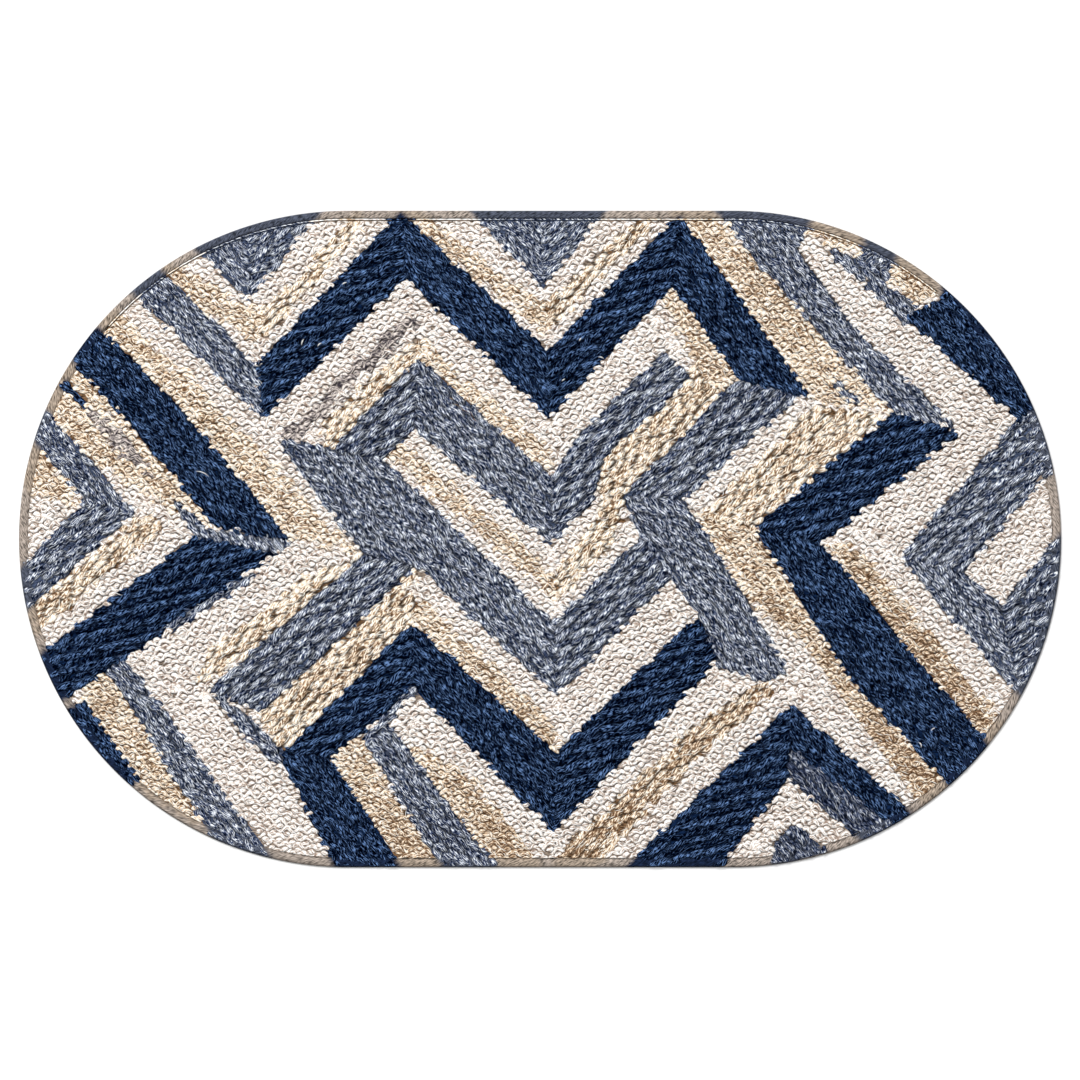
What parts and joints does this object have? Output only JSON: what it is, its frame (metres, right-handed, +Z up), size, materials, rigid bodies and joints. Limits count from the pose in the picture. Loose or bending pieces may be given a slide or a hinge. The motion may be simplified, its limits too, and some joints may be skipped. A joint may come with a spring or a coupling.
{
  "type": "braided rug",
  "caption": "Flat oval braided rug with a traditional zigzag of navy, denim, cream and tan yarn strips and a narrow sewn edge binding.",
  "frame": {"origin": "the middle of the flat underside, on the surface that the rug lies on", "axes": "+X along the rug's length, +Y across it, +Z up out of its face"},
  "size_m": [0.8, 0.504, 0.0088],
  "materials": {
    "cream_yarn": "chunky matt yarn in small raised stitches",
    "tan_yarn": "chunky matt yarn in small raised stitches, flecked",
    "denim_yarn": "heathered matt yarn, plaited",
    "navy_yarn": "matt yarn, plaited",
    "binding_braid": "flat matt braid, stitched"
  },
  "bodies": {
    "root": {"rug_field": "cream_yarn", "edge_binding": "binding_braid"}
  },
  "joints": []
}
